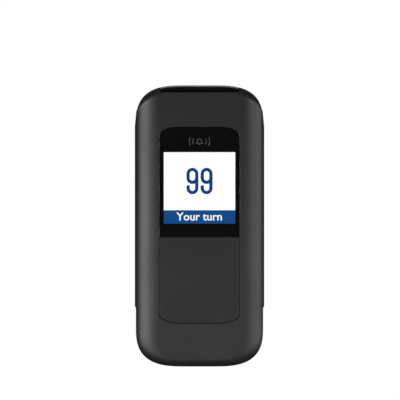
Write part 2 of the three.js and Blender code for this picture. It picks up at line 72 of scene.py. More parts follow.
casing_low, casing_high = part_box("front_casing")
rear_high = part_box("rear_casing")[1]
window_low, window_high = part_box("display_window")
key_low, key_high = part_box("press_key")
panel_low, panel_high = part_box("lcd_panel")
trim_low, trim_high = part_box("top_trim")
bar_low, bar_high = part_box("light_bar")
label_low, label_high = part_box("label_plate")
seal_low, seal_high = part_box("case_seal")
sounder_low, sounder_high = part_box("sounder")
contact_low, contact_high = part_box("charge_contact_right")
screw_low, screw_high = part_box("case_screw_1")

HALF_WIDTH = casing_high.x
HEIGHT = cad_bounds[1].z
FRONT = casing_low.y
BACK = rear_high.y
FRONT_RIM = casing_high.y
BACK_RIM = FRONT_RIM + 0.7 * MM
WALL = 1.8 * MM
OVER = 1 * MM     # past a surface, for cutting blocks
FAR = 40 * MM
SLIVER = 0.02 * MM  # keeps two cutting surfaces from lying in one plane

# The rounded ends of the outline: how far each reaches in from the side and from the end.
END_CORNER = (18.88 * MM, 15.32 * MM, 0.616)

# The blends round the front corners: reach in from the sides, reach in from the end, and depth.
LOW_BLEND = (8.6 * MM, 2.7 * MM, 6.3 * MM)
HIGH_BLEND = (5.3 * MM, 2.75 * MM, 6.3 * MM)

# Edges and rolled sides of the body, outside and inside the wall: (width, depth).
OUTSIDE = {
    "inset": 0,
    "front_edge": (2.9 * MM, 7 * MM),
    "back_edge": (3 * MM, 5 * MM),
    "front_roll": (9 * MM, 6.5 * MM),
    "back_roll": (6 * MM, 5 * MM),
}
INSIDE = {
    "inset": WALL,
    "front_edge": (2 * MM, 5.6 * MM),
    "back_edge": (1.8 * MM, 3.4 * MM),
    "front_roll": (7.2 * MM, 4.7 * MM),
    "back_roll": (4.2 * MM, 3.2 * MM),
}

# The insert: its corners below and above, its clearance, and the floors of its pocket.
LOW_CORNER = (7.74 * MM, 3.3 * MM, 0.482)
HIGH_CORNER = (7.74 * MM, 4.8 * MM, 0.568)
SMALL_CORNER = (0.3 * MM, 0.3 * MM, 0.5)
INSERT_GAP = 0.2 * MM
POCKET_RIM = 0.1 * MM
WINDOW_FLOOR = -8.4 * MM
KEY_FLOOR = -8.05 * MM
SPLIT = (window_low.z + key_high.z) / 2

DISPLAY_MIDDLE = (panel_low.z + panel_high.z) / 2 - 0.1 * MM
DISPLAY_HALF = 13.78 * MM
DISPLAY_OPENING = 14.6 * MM
KEY_OPENING = 14 * MM
KEY_OPENING_ENDS = (19 * MM, 47.6 * MM)
DIGIT_X = 2.73 * MM

# The thicker wall round the insert: how far it reaches past the insert, and where its back lies.
PAD_MARGIN = 1.5 * MM
KEY_PAD = -7 * MM
WINDOW_PAD = -7.6 * MM

# Fixings inside the case.
SWITCH_HEIGHT = 33.5 * MM
TOP_NOTCH = 15.3 * MM
TOP_PART = 100 * MM  # a height that parts the top end from the rest
SCREW_X = (screw_low.x + screw_high.x) / -2
SCREW_Z = [13 * MM, 95.5 * MM]
BOSS = 2.6 * MM
COLUMN = 3.3 * MM
CONTACT_X = (contact_low.x + contact_high.x) / 2
CONTACT_Y = (contact_low.y + contact_high.y) / 2
GRILLE_Z = (sounder_low.z + sounder_high.z) / 2


# ---- shaping -----------------------------------------------------------------------------------

def take(piece):
    """Makes one object the only selected one."""
    bpy.ops.object.select_all(action="DESELECT")
    piece.select_set(True)
    bpy.context.view_layer.objects.active = piece


def edit(piece):
    take(piece)
    bpy.ops.object.mode_set(mode="EDIT")


def done():
    bpy.ops.object.mode_set(mode="OBJECT")


def apply_place(piece, name):
    """Moves an object's place and turn into its mesh, and names both."""
    take(piece)
    bpy.ops.object.transform_apply(location=True, rotation=True, scale=True)
    piece.name = name
    piece.data.name = name
    return piece


def block(name, low, high):
    low, high = Vector(low), Vector(high)
    bpy.ops.object.select_all(action="DESELECT")
    bpy.ops.mesh.primitive_cube_add(size=1, location=(low + high) / 2, scale=high - low)
    return apply_place(bpy.context.active_object, name)


def rod(name, radius, start, end, sides=32):
    start, end = Vector(start), Vector(end)
    turn = Vector((0, 0, 1)).rotation_difference(end - start).to_euler()
    bpy.ops.object.select_all(action="DESELECT")
    bpy.ops.mesh.primitive_cylinder_add(
        vertices=sides, radius=radius, depth=(end - start).length,
        location=(start + end) / 2, rotation=turn,
    )
    return apply_place(bpy.context.active_object, name)


def copy_of(piece, name):
    twin = piece.copy()
    twin.data = piece.data.copy()
    twin.name = name
    twin.data.name = name
    bpy.context.scene.collection.objects.link(twin)
    return twin


def combine(piece, tool, operation):
    take(piece)
    change = piece.modifiers.new(operation, "BOOLEAN")
    change.operation = operation
    change.solver = "EXACT"
    change.object = tool
    bpy.ops.object.modifier_apply(modifier=change.name)
    bpy.data.objects.remove(tool)
    return piece


def cut(piece, tool):
    return combine(piece, tool, "DIFFERENCE")


def join(piece, tool):
    return combine(piece, tool, "UNION")


def keep(piece, tool):
    return combine(piece, tool, "INTERSECT")


def together(pieces):
    """Makes several objects one, as separate solids in the first one's mesh."""
    take(pieces[0])
    for piece in pieces:
        piece.select_set(True)
    bpy.ops.object.join()
    return pieces[0]


def merge_doubles(piece):
    edit(piece)
    bpy.ops.mesh.select_all(action="SELECT")
    bpy.ops.mesh.remove_doubles(threshold=0.001 * MM)
    done()


def middle(part):
    """The middle of a face, edge or corner."""
    if isinstance(part, bmesh.types.BMFace):
        return part.calc_center_median()
    if isinstance(part, bmesh.types.BMEdge):
        return (part.verts[0].co + part.verts[1].co) / 2
    return part.co


def runs(edge, axis):
    """Whether an edge runs along an axis."""
    way = edge.verts[1].co - edge.verts[0].co
    return abs(way[axis]) > 0.999 * way.length


def lies(part, axis, place, within=0.01 * MM):
    """Whether all of an edge or face lies in the plane at that place on an axis."""
    return all(abs(corner.co[axis] - place) < within for corner in part.verts)


def pick(kind, test):
    """Selects the faces, edges or corners of the piece in edit mode that pass the test."""
    mesh = bpy.context.edit_object.data
    bpy.ops.mesh.select_mode(type=kind)
    bpy.ops.mesh.select_all(action="DESELECT")
    shape = bmesh.from_edit_mesh(mesh)
    parts = {"FACE": shape.faces, "EDGE": shape.edges, "VERT": shape.verts}[kind]
    for part in parts:
        if test(part):
            part.select_set(True)
    bmesh.update_edit_mesh(mesh)


def stretch(axis, factor, centre):
    size = [1, 1, 1]
    size[axis] = factor
    bpy.ops.mesh.select_all(action="SELECT")
    bpy.ops.transform.resize(value=size, center_override=centre)


def oval_bevel(test, corner, axis, centre, segments):
    """Rounds the picked edges. A corner is (width, depth along axis, profile)."""
    width, depth, profile = corner
    stretch(axis, width / depth, centre)
    pick("EDGE", test)
    bpy.ops.mesh.bevel(
        offset=width, segments=segments, profile=profile, affect="EDGES", clamp_overlap=False,
    )
    stretch(axis, depth / width, centre)


def round_edges(test, radius, segments=3):
    pick("EDGE", test)
    bpy.ops.mesh.bevel(offset=radius, segments=segments, affect="EDGES", clamp_overlap=False)


def step_in(steps):
    """Draws the picked face out in steps of (inwards, outwards)."""
    for inwards, outwards in steps:
        bpy.ops.mesh.inset(thickness=inwards, depth=outwards, use_even_offset=True)


def crown(width, depth, steps):
    """Steps along a quarter ellipse that leaves the side straight and meets the face flat."""
    turns = [math.pi / 2 * i / steps for i in range(steps + 1)]
    return [
        (width * (math.cos(a) - math.cos(b)), depth * (math.sin(b) - math.sin(a)))
        for a, b in zip(turns, turns[1:])
    ]


def flare(radius, steps):
    """Steps for a cutter that rounds the rim of the pocket that it makes."""
    turns = [math.pi / 2 * i / steps for i in range(steps + 1)]
    return [
        (radius * (math.sin(b) - math.sin(a)), radius * (math.cos(a) - math.cos(b)))
        for a, b in zip(turns, turns[1:])
    ]


def faces_front(face):
    return face.normal.y < -0.9


def faces_back(face):
    return face.normal.y > 0.9


def plate(name, low, high, low_corner, high_corner, segments=12):
    """A block whose front is a rectangle with rounded corners of one kind below and one above."""
    piece = block(name, low, high)
    centre = (Vector(low) + Vector(high)) / 2
    foot, tip = Vector(low).z + SLIVER, Vector(high).z - SLIVER
    edit(piece)
    oval_bevel(
        lambda edge: runs(edge, Y) and middle(edge).z < foot, low_corner, Z, centre, segments,
    )
    oval_bevel(
        lambda edge: runs(edge, Y) and middle(edge).z > tip, high_corner, Z, centre, segments,
    )
    done()
    return piece


def outline_plate(name, inset, front, back, segments=32):
    """The pager's outline, moved inwards by inset and drawn from front to back."""
    width, height, profile = END_CORNER
    corner = (width - inset, height - inset, profile)
    half = HALF_WIDTH - inset
    piece = block(name, (-half, front, inset), (half, back, HEIGHT - inset))
    edit(piece)
    oval_bevel(lambda edge: runs(edge, Y), corner, Z, (0, 0, HEIGHT / 2), segments)
    done()
    return piece


def envelope(name, body, front, back):
    """The whole body as one solid: soft-edged front and back, and rolled sides."""
    soft_front = front + body["front_edge"][1]
    soft_back = back - body["back_edge"][1]
    piece = outline_plate(name, body["inset"], soft_front, soft_back)
    edit(piece)
    pick("FACE", faces_front)
    step_in(crown(body["front_edge"][0], body["front_edge"][1] + SLIVER, 14))
    pick("FACE", faces_back)
    step_in(crown(body["back_edge"][0], body["back_edge"][1] + SLIVER, 10))
    done()
    return keep(piece, rolled_bar(body, front, back))


def rolled_bar(body, front, back):
    """The body's cross-section, drawn past both ends."""
    half = HALF_WIDTH - body["inset"] + SLIVER
    bar = block("rolled_bar", (-half, front, -OVER), (half, back, HEIGHT + OVER))
    edit(bar)
    for side, roll in ((-1, body["front_roll"]), (1, body["back_roll"])):
        oval_bevel(
            lambda edge: runs(edge, Z) and side * middle(edge).y > 0,
            (*roll, 0.5), Y, (0, 0, 0), 18,
        )
    done()
    return bar


def end_blend(side, blend):
    """A long block whose front edge widens round one end's corners: side is -1 below, 1 above."""
    across, up, depth = blend
    width, height, profile = END_CORNER
    half = HALF_WIDTH + SLIVER
    centre = (0, 0, HEIGHT / 2)
    low, high = (-SLIVER, 2 * HEIGHT) if side < 0 else (-HEIGHT, HEIGHT + SLIVER)
    piece = block("end_blend", (-half, FRONT + depth, low), (half, BACK + OVER, high))
    edit(piece)
    oval_bevel(
        lambda edge: runs(edge, Y) and side * (middle(edge).z - HEIGHT / 2) > 0,
        (width + SLIVER, height + SLIVER, profile), Z, centre, 32,
    )
    stretch(X, up / across, centre)
    pick("FACE", faces_front)
    step_in(crown(up, depth + SLIVER, 14))
    stretch(X, across / up, centre)
    done()
    return piece


def screw_places():
    return [(side * SCREW_X, height) for height in SCREW_Z for side in (-1, 1)]


def top_notch():
    return block(
        "top_notch", (-TOP_NOTCH, FRONT - OVER, trim_low.z - 0.05 * MM),
        (TOP_NOTCH, bar_high.y + 0.3 * MM, HEIGHT + OVER),
    )


def smooth(piece, angle=32):
    take(piece)
    bpy.ops.object.shade_smooth_by_angle(angle=math.radians(angle))
    even = piece.modifiers.new("even_normals", "WEIGHTED_NORMAL")
    even.keep_sharp = True
    bpy.ops.object.modifier_apply(modifier=even.name)


# ---- casing ------------------------------------------------------------------------------------

def insert_pocket():
    """Cutter for the flush insert, with a rim that it leaves softly rounded."""
    wide = INSERT_GAP + POCKET_RIM
    tool = plate(
        "insert_pocket",
        (-window_high.x - wide, FRONT - OVER, key_low.z - wide),
        (window_high.x + wide, FRONT, window_high.z + wide),
        LOW_CORNER, HIGH_CORNER,
    )
    edit(tool)
    pick("FACE", faces_back)
    step_in(flare(POCKET_RIM, 4))
    bpy.ops.mesh.extrude_region_move(
        TRANSFORM_OT_translate={"value": (0, WINDOW_FLOOR - FRONT - POCKET_RIM, 0)},
    )
    done()
    return tool


def front_shell(outside, inside):
    shell = copy_of(outside, "front_shell")
    keep(shell, block("front_half", (-FAR, FRONT - OVER, -OVER), (FAR, FRONT_RIM, HEIGHT + OVER)))
    edit(shell)
    round_edges(lambda edge: lies(edge, Y, FRONT_RIM), 0.2 * MM)
    done()

    hollow = copy_of(inside, "front_hollow")
    pad = window_high.x + PAD_MARGIN
    low, high = key_low.z - PAD_MARGIN, window_high.z + PAD_MARGIN
    cut(hollow, block("key_pad", (-pad, FRONT, low), (pad, KEY_PAD, SPLIT)))
    cut(hollow, block("window_pad", (-pad, FRONT, SPLIT - OVER), (pad, WINDOW_PAD, high)))
    for x, z in screw_places():
        cut(hollow, rod("boss", BOSS, (x, FRONT, z), (x, FRONT_RIM, z)))
    for x in (-SCREW_X, SCREW_X):
        cut(hollow, rod("board_post", 2 * MM, (x, FRONT, SPLIT), (x, -3.5 * MM, SPLIT)))
    cut(shell, hollow)

    cut(shell, insert_pocket())
    wide = INSERT_GAP
    cut(shell, plate(
        "key_pocket",
        (-window_high.x - wide, WINDOW_FLOOR - OVER, key_low.z - wide),
        (window_high.x + wide, KEY_FLOOR, SPLIT),
        LOW_CORNER, SMALL_CORNER,
    ))
    view = DISPLAY_OPENING
    cut(shell, block(
        "display_opening", (-view, FRONT, DISPLAY_MIDDLE - view), (view, 0, DISPLAY_MIDDLE + view),
    ))
    low, high = KEY_OPENING_ENDS
    cut(shell, block("key_opening", (-KEY_OPENING, FRONT, low), (KEY_OPENING, 0, high)))
    for x, z in screw_places():
        cut(shell, rod("boss_hole", 1.1 * MM, (x, -6.6 * MM, z), (x, 0, z), 20))
    cut(shell, top_notch())
    return shell


def side_rail(side):
    """A rail that stands out from the side: led in below, and fading into the corner above."""
    root = side * (HALF_WIDTH - 1 * MM)
    edge = side * rear_high.x
    faded = side * (HALF_WIDTH - 0.17 * MM)
    back = 6.2 * MM
    low, lead, high, top = (z * MM for z in (22.3, 23.3, 92.7, 99))
    rail = block(
        "side_rail",
        (min(root, edge), BACK_RIM, low),
        (max(root, edge), back, top),
    )
    edit(rail)
    for height in (lead, high):
        bpy.ops.mesh.select_all(action="SELECT")
        bpy.ops.mesh.bisect(plane_co=(0, 0, height), plane_no=(0, 0, 1))
    for height in (low, top):
        pick("VERT", lambda corner: (
            abs(corner.co.z - height) < SLIVER and side * corner.co.x > abs(faded)
        ))
        bpy.ops.transform.translate(value=(faded - edge, 0, 0))
    round_edges(
        lambda part: side * middle(part).x > abs(faded) and lies(part, Y, back), 0.5 * MM,
    )
    done()
    return rail


def tongue():
    """The lip on the back shell that runs inside the front one."""
    ring = outline_plate("tongue", 1.6 * MM, BACK_RIM, 1 * MM)
    join(ring, outline_plate("lip", 2 * MM, -2.5 * MM, 1 * MM - SLIVER))
    cut(ring, outline_plate("inner", 2.9 * MM, -4 * MM, 3 * MM))
    clear = TOP_NOTCH + 1.5 * MM
    return cut(ring, block(
        "clear", (-clear, -4 * MM, TOP_PART), (clear, bar_high.y, HEIGHT + OVER),
    ))


def grille_places():
    ring = [math.pi / 3 * i for i in range(6)]
    pitch = 2.8 * MM
    return [(0, GRILLE_Z)] + [
        (pitch * math.cos(turn), GRILLE_Z + pitch * math.sin(turn)) for turn in ring
    ]


def flared_hole(name, radius, x, z, depth, rim, sides=32):
    """Cutter for a hole in the back with a softly rounded rim."""
    tool = rod(name, radius + rim, (x, BACK + OVER, z), (x, BACK, z), sides)
    edit(tool)
    pick("FACE", faces_front)
    step_in(flare(rim, 3))
    bpy.ops.mesh.extrude_region_move(TRANSFORM_OT_translate={"value": (0, rim - depth, 0)})
    done()
    return tool


def rear_shell(outside, inside):
    shell = copy_of(outside, "rear_shell")
    keep(shell, block("rear_half", (-FAR, BACK_RIM, -OVER), (FAR, BACK + OVER, HEIGHT + OVER)))
    edit(shell)
    round_edges(lambda edge: lies(edge, Y, BACK_RIM), 0.2 * MM)
    done()
    for side in (-1, 1):
        join(shell, side_rail(side))

    hollow = copy_of(inside, "rear_hollow")
    for x, z in screw_places():
        cut(hollow, rod("column", COLUMN, (x, BACK_RIM, z), (x, BACK, z)))
    cut(shell, hollow)
    join(shell, tongue())
    for x in (-19.3 * MM, 19.3 * MM):
        join(shell, rod("board_rest", 1.2 * MM, (x, -2.3 * MM, 58 * MM), (x, 8.6 * MM, 58 * MM)))

    for x, z in screw_places():
        cut(shell, rod("screw_hole", 1.25 * MM, (x, -3 * MM, z), (x, BACK, z), 20))
        cut(shell, flared_hole("counterbore", 2.3 * MM, x, z, 3 * MM, 0.2 * MM))
    for x, z in grille_places():
        cut(shell, flared_hole("grille_hole", 0.8 * MM, x, z, 3 * MM, 0.15 * MM, 20))
    for side in (-1, 1):
        x = side * CONTACT_X
        cut(shell, rod("contact_hole", 1.95 * MM, (x, CONTACT_Y, -OVER), (x, CONTACT_Y, 3 * MM)))
    gap = 0.2 * MM
    cut(shell, plate(
        "label_recess",
        (label_low.x - gap, label_low.y - 0.05 * MM, label_low.z - gap),
        (label_high.x + gap, BACK + OVER, label_high.z + gap),
        (1.7 * MM, 1.7 * MM, 0.5), (1.7 * MM, 1.7 * MM, 0.5), 6,
    ))
    return cut(shell, top_notch())


def seal_ring():
    """The silicone ring in the parting line, with a rounded outer bead."""
    ring = outline_plate("seal_ring", 0.5 * MM, seal_low.y, seal_high.y)
    edit(ring)
    round_edges(lambda edge: lies(edge, Y, seal_low.y) or lies(edge, Y, seal_high.y), 0.12 * MM, 2)
    done()
    cut(ring, outline_plate("inner", 1.5 * MM, seal_low.y - OVER, seal_high.y + OVER))
    gap = TOP_NOTCH + 0.4 * MM
    return cut(ring, block("gap", (-gap, -3 * MM, TOP_PART), (gap, 3 * MM, HEIGHT + OVER)))


# ---- front insert ------------------------------------------------------------------------------

PANE_BACK = window_high.y - 0.1 * MM
PRINT_FRONT = PANE_BACK + 0.05 * MM


def window_pane():
    """The clear pane, with a rounded rim."""
    rim = 0.12 * MM
    glass = plate(
        "window_pane",
        (window_low.x, window_low.y + rim, window_low.z),
        (window_high.x, PANE_BACK, window_high.z),
        SMALL_CORNER, HIGH_CORNER, 14,
    )
    edit(glass)
    pick("FACE", faces_front)
    step_in(crown(rim, rim, 4))
    done()
    return glass


def window_print():
    """The black ink behind the pane, open over the display."""
    ink = plate(
        "window_print",
        (window_low.x, PRINT_FRONT, window_low.z), window_high,
        SMALL_CORNER, HIGH_CORNER, 14,
    )
    view = DISPLAY_HALF + 0.05 * MM
    return cut(ink, block(
        "view", (-view, FRONT, DISPLAY_MIDDLE - view), (view, 0, DISPLAY_MIDDLE + view),
    ))


def press_key_cap():
    """The key: a cap flush with the casing, and under it a skirt, two hooks and a post."""
    rim = 0.3 * MM
    cap_back = window_high.y
    cap = plate(
        "press_key_cap",
        (key_low.x, key_low.y + rim, key_low.z), (key_high.x, cap_back, key_high.z),
        LOW_CORNER, SMALL_CORNER, 14,
    )
    edit(cap)
    pick("FACE", faces_front)
    step_in(crown(rim, rim, 4))
    done()

    half, wall, low, high, back = (v * MM for v in (13.7, 1.2, 19.3, 47.3, -6.9))
    skirt = block("skirt", (-half, cap_back - 0.1 * MM, low), (half, back, high))
    cut(skirt, block(
        "inside", (wall - half, cap_back, low + wall), (half - wall, back + OVER, high - wall),
    ))
    join(cap, skirt)
    post = [(0, end, SWITCH_HEIGHT) for end in (cap_back - 0.1 * MM, key_high.y)]
    join(cap, rod("post", 2 * MM, *post))
    for side in (-1, 1):
        join(cap, hook(side, half, wall, back))
    return cap


def hook(side, half, wall, back):
    reach, tip, low, high = (v * MM for v in (14.9, -6.1, 26, 41))
    inner = side * (half - wall)
    stem = block(
        "hook",
        (min(inner, side * half), window_high.y + 0.02 * MM, low),
        (max(inner, side * half), tip, high),
    )
    nose = block(
        "nose",
        (min(inner + side * SLIVER, side * reach), back, low - SLIVER),
        (max(inner + side * SLIVER, side * reach), tip + SLIVER, high + SLIVER),
    )
    return join(stem, nose)


# ---- display picture ---------------------------------------------------------------------------

PICTURE_FACE = panel_low.y - 0.02 * MM
LAYER = 0.02 * MM  # thickness of one layer of the picture
BAR_HEIGHT = 5.2 * MM


def picture_plate(name, low_z, high_z, layer):
    face = PICTURE_FACE - layer * LAYER
    return block(name, (-DISPLAY_HALF, face, low_z), (DISPLAY_HALF, face + LAYER, high_z))


def stroke(name, points, width, face):
    """A flat line of one width through (x, z) points, with round ends."""
    curve = bpy.data.curves.new(name, "CURVE")
    curve.dimensions = "3D"
    curve.bevel_depth = width / 2
    curve.bevel_resolution = 4
    curve.use_fill_caps = True
    line = curve.splines.new("POLY")
    line.points.add(len(points) - 1)
    for point, (x, z) in zip(line.points, points):
        point.co = (x, 0, z, 1)
    piece = bpy.data.objects.new(name, curve)
    bpy.context.scene.collection.objects.link(piece)
    take(piece)
    bpy.ops.object.convert(target="MESH")
    piece = bpy.context.active_object
    merge_doubles(piece)
    half = width / 2
    ends = [
        rod("end", half, (x, -half, z), (x, half, z), 24) for x, z in (points[0], points[-1])
    ]
    together([piece, *ends])
    piece.scale = (1, LAYER / width, 1)
    piece.location = (0, face + LAYER / 2, 0)
    return apply_place(piece, name)


def turn_of(centre, radius, start, end, steps=10):
    """Points on an arc, with angles in degrees."""
    turns = [math.radians(start + (end - start) * i / steps) for i in range(steps + 1)]
    return [
        (centre[0] + radius * math.cos(turn), centre[1] + radius * math.sin(turn)) for turn in turns
    ]


def nine(name, x, face):
    """The digit 9 as one stroke: from the tail round the stem and over into the bowl."""
    width, height, line = 4.65 * MM, 10.25 * MM, 1.3 * MM
    bowl = 6.3 * MM
    base = DISPLAY_MIDDLE - 2.45 * MM
    radius = (width - line) / 2
    low = base + line / 2 + radius
    high = base + height - line / 2 - radius
    bowl_low = base + height - bowl + line / 2 + radius
    points = [(x - radius, low + 0.6 * MM)]
    points += turn_of((x, low), radius, 180, 360)
    points += turn_of((x, high), radius, 0, 180)
    points += turn_of((x, bowl_low), radius, 180, 340)
    return stroke(name, points, line, face)


def words(name, text, height, place, face):
    """A line of text as thin flat letters, centred on a place (x, z)."""
    curve = bpy.data.curves.new(name, "FONT")
    curve.body = text
    curve.size = height
    curve.align_x = "CENTER"
    curve.align_y = "CENTER"
    curve.extrude = LAYER / 2
    curve.offset = 0.018 * height
    curve.resolution_u = 3
    piece = bpy.data.objects.new(name, curve)
    bpy.context.scene.collection.objects.link(piece)
    take(piece)
    bpy.ops.object.convert(target="MESH")
    piece = bpy.context.active_object
    merge_doubles(piece)
    piece.rotation_euler = (math.pi / 2, 0, 0)
    piece.location = (place[0], face + LAYER / 2, place[1])
    return apply_place(piece, name)


def bell_sign():
    """A small bell between two pairs of sound arcs, printed behind the pane."""
    face = PANE_BACK + 0.005 * MM
    base = window_high.z - 6.7 * MM
    line = 0.3 * MM
    lip = [(-1.3 * MM, base + 0.55 * MM), (1.3 * MM, base + 0.55 * MM)]
    bell = turn_of((0, base + 1.55 * MM), 0.8 * MM, 0, 180)
    bell = [(1.05 * MM, base + 0.6 * MM)] + bell + [(-1.05 * MM, base + 0.6 * MM)]
    lines = [lip, bell, [(-0.25 * MM, base + 0.1 * MM), (0.25 * MM, base + 0.1 * MM)]]
    for radius in (2.6 * MM, 3.9 * MM):
        for facing in (0, 180):
            lines.append(turn_of((0, base + 1.3 * MM), radius, facing - 22, facing + 22))
    return together([stroke("bell_sign", points, line, face) for points in lines])


# ---- top end -----------------------------------------------------------------------------------

def gloss_trim(outside):
    trim = copy_of(outside, "gloss_trim")
    return keep(trim, block(
        "trim_block",
        (trim_low.x, FRONT - OVER, trim_low.z), (trim_high.x, trim_high.y, HEIGHT + OVER),
    ))


def milky_bar(outside):
    """The light bar: a strip of the casing's own surface, and a flange that holds it in."""
    bar = copy_of(outside, "milky_bar")
    half = trim_high.x
    keep(bar, block(
        "bar_block", (-half, bar_low.y, trim_low.z), (half, bar_high.y, HEIGHT + OVER),
    ))
    cut(bar, outline_plate("core", 2.4 * MM, FRONT, BACK))
    reach = bar_high.x
    flange = outline_plate("flange", 2.05 * MM, -2.8 * MM, bar_high.y - 0.1 * MM)
    cut(flange, outline_plate("flange_core", 2.8 * MM, FRONT, BACK))
    keep(flange, block("flange_block", (-reach, FRONT, TOP_PART), (reach, BACK, HEIGHT)))
    return join(bar, flange)


# ---- fasteners, contacts and label --------------------------------------------------------------

def cross_screw():
    """A pan-head screw with a cross recess, its head towards +Y and its seat at y = 0."""
    head_high, dome = 1.25 * MM, 0.35 * MM
    screw = rod("case_screw", 1.9 * MM, (0, 0, 0), (0, head_high, 0), 40)
    edit(screw)
    pick("FACE", faces_back)
    step_in(crown(0.55 * MM, dome, 5))
    done()
    join(screw, rod("shank", 0.95 * MM, (0, -13 * MM, 0), (0, 0.1 * MM, 0), 24))
    for long, wide in ((1.1 * MM, 0.28 * MM), (0.28 * MM, 1.1 * MM)):
        slot = block("slot", (-long, 0.85 * MM, -wide), (long, 2 * MM, wide))
        edit(slot)
        pick("FACE", faces_front)
        bpy.ops.transform.resize(value=(0.7, 1, 0.7), center_override=(0, 0.85 * MM, 0))
        done()
        cut(screw, slot)
    return screw


def charge_contact():
    """A domed contact with its axis along Z, and the shoulder that stops it inside the wall."""
    recess, shoulder, top = contact_low.z, 2 * MM, contact_high.z
    dome = 0.45 * MM
    pin = [(0, 0, recess + dome), (0, 0, shoulder + 0.1 * MM)]
    contact = rod("charge_contact", 1.8 * MM, *pin, 40)
    edit(contact)
    pick("FACE", lambda face: face.normal.z < -0.9)
    step_in(crown(1.5 * MM, dome, 8))
    done()
    return join(contact, rod("shoulder", 2.2 * MM, (0, 0, shoulder), (0, 0, top), 40))


def place_copies(master, names, places):
    """Copies of a piece, each with its own mesh and its place in that mesh."""
    copies = []
    for name, place in zip(names, places):
        twin = copy_of(master, name)
        twin.data.transform(Matrix.Translation(place))
        copies.append(twin)
    bpy.data.objects.remove(master)
    return copies


def label():
    corner = (1.5 * MM, 1.5 * MM, 0.5)
    return plate("rating_label", label_low, label_high, corner, corner, 6)


# ---- finishes ----------------------------------------------------------------------------------

def add(tree, kind, inputs=None, **settings):
    """Adds a node. An input is a number, a colour or the output socket that feeds it."""
    made = tree.nodes.new(kind)
    for key, value in settings.items():
        setattr(made, key, value)
    for socket, value in (inputs or {}).items():
        if isinstance(value, bpy.types.NodeSocket):
            tree.links.new(value, made.inputs[socket])
        else:
            made.inputs[socket].default_value = value
    return made


def math_node(tree, operation, first, second=0.5):
    return add(tree, "ShaderNodeMath", {0: first, 1: second}, operation=operation).outputs[0]


def spread(tree, value, low, high, new_low, new_high):
    """Carries a value from one range to another."""
    return add(
        tree, "ShaderNodeMapRange",
        {"Value": value, "From Min": low, "From Max": high, "To Min": new_low, "To Max": new_high},
    ).outputs["Result"]


def new_group(name, inputs, outputs):
    """A node group with float inputs, after a Position, and float outputs."""
    group = bpy.data.node_groups.new(name, "ShaderNodeTree")
    group.interface.new_socket("Position", in_out="INPUT", socket_type="NodeSocketVector")
    for socket, value in inputs.items():
        made = group.interface.new_socket(socket, in_out="INPUT", socket_type="NodeSocketFloat")
        made.default_value = value
    for socket in outputs:
        group.interface.new_socket(socket, in_out="OUTPUT", socket_type="NodeSocketFloat")
    entry = group.nodes.new("NodeGroupInput")
    leave = group.nodes.new("NodeGroupOutput")
    return group, entry.outputs, leave.inputs


def moulded_grain():
    """The fine sparked texture of a moulding: its height, and flecks of lighter tone."""
    group, given, out = new_group("moulded_grain", {"Size": 0.0003}, ["Height", "Fleck"])
    scale = math_node(group, "DIVIDE", 1.0, given["Size"])
    coarse = add(
        group, "ShaderNodeTexNoise",
        {"Vector": given["Position"], "Scale": scale, "Detail": 3.0, "Roughness": 0.62},
    ).outputs["Fac"]
    pits = add(
        group, "ShaderNodeTexVoronoi",
        {"Vector": given["Position"], "Scale": math_node(group, "MULTIPLY", scale, 1.3)},
        feature="SMOOTH_F1",
    ).outputs["Distance"]
    height = math_node(group, "ADD", coarse, math_node(group, "MULTIPLY", pits, 0.5))
    group.links.new(height, out["Height"])
    group.links.new(spread(group, coarse, 0.35, 0.65, 0.0, 1.0), out["Fleck"])
    return group


def tone_drift():
    """A slow drift of tone over a surface, as handling leaves."""
    group, given, out = new_group("tone_drift", {"Size": 0.02}, ["Drift"])
    cloud = add(
        group, "ShaderNodeTexNoise",
        {
            "Vector": given["Position"],
            "Scale": math_node(group, "DIVIDE", 1.0, given["Size"]),
            "Detail": 4.0,
            "Roughness": 0.55,
        },
    ).outputs["Fac"]
    group.links.new(spread(group, cloud, 0.3, 0.7, 0.0, 1.0), out["Drift"])
    return group


def edge_wear():
    """A broken mask along outside edges, where a surface is rubbed first."""
    group, given, out = new_group("edge_wear", {"Radius": 0.0003}, ["Mask"])
    bevel = add(group, "ShaderNodeBevel", {"Radius": given["Radius"]}, samples=4)
    straight = add(group, "ShaderNodeNewGeometry").outputs["Normal"]
    match = add(
        group, "ShaderNodeVectorMath", {0: bevel.outputs["Normal"], 1: straight},
        operation="DOT_PRODUCT",
    ).outputs["Value"]
    edge = spread(group, match, 0.995, 0.9, 0.0, 1.0)
    broken = add(
        group, "ShaderNodeTexNoise",
        {"Vector": given["Position"], "Scale": 900.0, "Detail": 3.0},
    ).outputs["Fac"]
    patches = spread(group, broken, 0.4, 0.62, 0.0, 1.0)
    group.links.new(math_node(group, "MULTIPLY", edge, patches), out["Mask"])
    return group


def drawn_lines():
    """Fine lines along one axis, as brushing, drawing or extrusion leaves."""
    group, given, out = new_group("drawn_lines", {"Size": 0.0001, "Length": 60.0}, ["Height"])
    shrink = math_node(group, "DIVIDE", 1.0, given["Length"])
    squeeze = add(group, "ShaderNodeCombineXYZ", {"X": shrink, "Y": 1.0, "Z": 1.0})
    drawn = add(
        group, "ShaderNodeVectorMath", {0: given["Position"], 1: squeeze.outputs[0]},
        operation="MULTIPLY",
    ).outputs["Vector"]
    lines = add(
        group, "ShaderNodeTexNoise",
        {"Vector": drawn, "Scale": math_node(group, "DIVIDE", 1.0, given["Size"]), "Detail": 2.0},
    ).outputs["Fac"]
    group.links.new(lines, out["Height"])
    return group


GRAIN = moulded_grain()
DRIFT = tone_drift()
WEAR = edge_wear()
LINES = drawn_lines()


def blank(name):
    """A new material: its tree, its shader and the point's place on the object."""
    material = bpy.data.materials.new(name)
    material.use_nodes = True
    tree = material.node_tree
    shader = tree.nodes["Principled BSDF"]
    place = add(tree, "ShaderNodeTexCoord").outputs["Object"]
    return material, tree, shader, place


